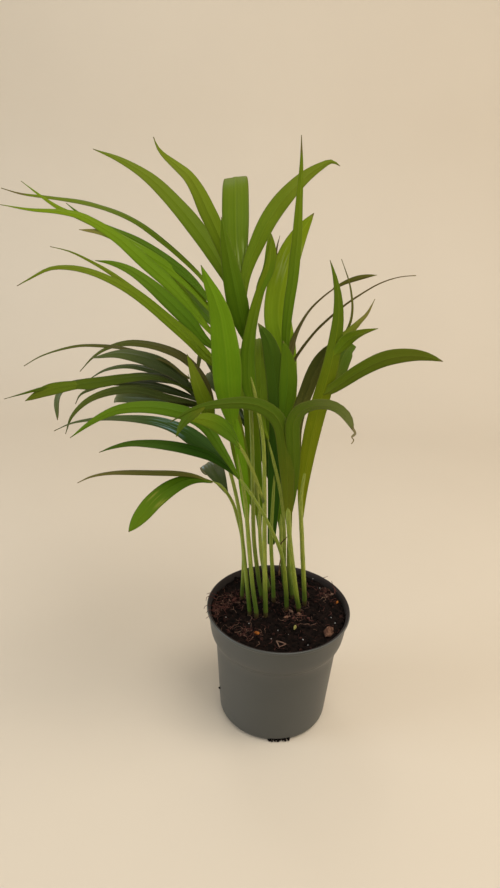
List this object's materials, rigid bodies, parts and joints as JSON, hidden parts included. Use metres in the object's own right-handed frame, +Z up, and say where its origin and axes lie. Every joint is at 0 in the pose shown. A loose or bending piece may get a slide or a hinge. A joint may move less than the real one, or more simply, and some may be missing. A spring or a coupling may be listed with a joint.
{
  "type": "potted palm",
  "caption": "Young cane palm with slim arching leaflets on a clump of leafy stems, growing in a round tapered nursery pot filled with peat.",
  "frame": {"origin": "centre of the pot's underside, on the surface the pot stands on", "axes": "+Z up along the pot's axis, -Y towards the front, the side from which the long fronds reach to the left"},
  "size_m": [0.318, 0.2267, 0.4677],
  "materials": {
    "pot_plastic": "satin",
    "peat": "matte",
    "leaf_bright": "satin",
    "leaf_olive": "satin",
    "leaf_dark": "satin"
  },
  "bodies": {
    "root": {"nursery_pot": "pot_plastic", "potting_soil": "peat", "stem_low_left": "leaf_olive", "stem_dark_fronds": "leaf_dark", "stem_bright_frond": "leaf_bright", "stem_top_fan": "leaf_bright", "stem_front_arch": "leaf_olive", "stem_dark_blade": "leaf_dark", "stem_left_reach": "leaf_dark", "stem_forked": "leaf_olive", "stem_spear": "leaf_bright", "stem_right_frond": "leaf_olive", "stem_back_left": "leaf_dark", "stem_back_right": "leaf_olive"}
  },
  "joints": []
}
